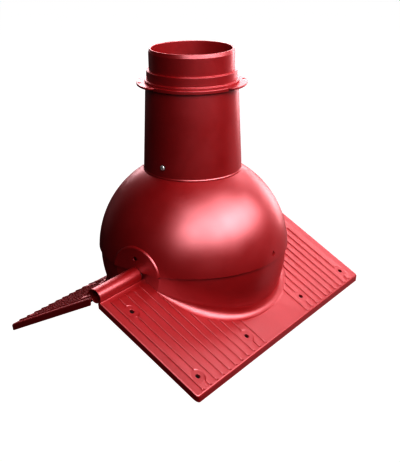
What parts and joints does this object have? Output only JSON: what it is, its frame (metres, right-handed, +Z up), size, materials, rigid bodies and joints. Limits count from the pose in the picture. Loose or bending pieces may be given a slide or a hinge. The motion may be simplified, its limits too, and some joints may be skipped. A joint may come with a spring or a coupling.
{
  "type": "ridge roof vent outlet",
  "caption": "Red ridge-mounted roof vent base: half-ball dome with a tapered neck and stepped pipe spigot, over two ribbed flashing plates that hinge about the ridge.",
  "frame": {"origin": "on the neck's axis, level with the lowest edges of the two plates at their rest pitch of 28.5 degrees", "axes": "+Z up the neck, +X along the ridge, right plate slopes down towards -Y and left plate towards +Y"},
  "size_m": [0.5648, 0.4262, 0.4993],
  "materials": {
    "red_shell": "satin moulded red polypropylene, fine grain",
    "screw_steel": "stainless screws, washers and nuts",
    "black_rubber": "matt EPDM rubber",
    "grey_foam": "closed-cell sealing foam",
    "white_nylon": "plain nylon"
  },
  "bodies": {
    "cowl": {"dome_cowl": "red_shell", "neck_sleeve": "red_shell", "neck_screws": "screw_steel", "neck_screw_washers": "black_rubber", "lug_ring": "red_shell", "spigot_adapter": "red_shell", "spigot_seal": "black_rubber", "pivot_bolts": "screw_steel", "pivot_head_washers": "screw_steel", "pivot_friction_washers": "white_nylon", "pivot_nut_washers": "screw_steel", "pivot_lock_nuts": "screw_steel"},
    "right_plate": {"right_flashing": "red_shell", "right_foam_seal": "grey_foam", "right_skirt_trim": "black_rubber", "right_hub_bushes": "white_nylon"},
    "left_plate": {"left_flashing": "red_shell", "left_foam_seal": "grey_foam", "left_skirt_trim": "black_rubber", "left_hub_bushes": "white_nylon"}
  },
  "joints": [
    {"name": "right_plate_hinge", "type": "hinge", "parent": "cowl", "child": "right_plate", "pos_m": [0, 0, 0.1278], "axis": [1, 0, 0], "range_deg": [-13.5, 16.5]},
    {"name": "left_plate_hinge", "type": "hinge", "parent": "cowl", "child": "left_plate", "pos_m": [0, 0, 0.1278], "axis": [-1, 0, 0], "range_deg": [-13.5, 16.5]}
  ]
}
